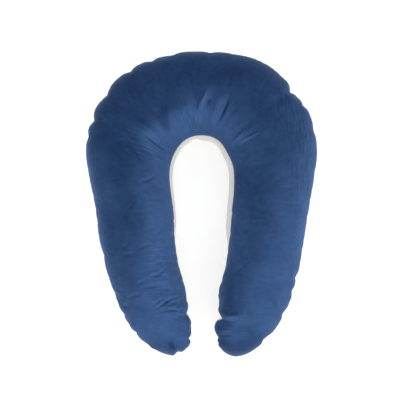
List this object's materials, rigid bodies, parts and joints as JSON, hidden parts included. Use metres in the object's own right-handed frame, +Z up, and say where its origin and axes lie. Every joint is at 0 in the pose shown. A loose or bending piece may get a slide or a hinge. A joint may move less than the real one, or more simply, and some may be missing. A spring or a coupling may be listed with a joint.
{
  "type": "pregnancy pillow",
  "caption": "Stuffed horseshoe body pillow with a velvet front and a cotton back, sewn along one gathered seam; it lies flat and cradles a body or belly between its arms.",
  "frame": {"origin": "on the floor under the middle of the outline", "axes": "+X across the arms, +Y from the tips of the arms towards the arch, +Z up out of the velvet"},
  "size_m": [0.6022, 0.7993, 0.17],
  "materials": {
    "velvet": "short-pile velvet, denim blue, soft sheen at grazing angles",
    "cotton": "plain-woven cotton, off-white, matt"
  },
  "bodies": {
    "root": {"velvet_front": "velvet", "cotton_back": "cotton"}
  },
  "joints": []
}
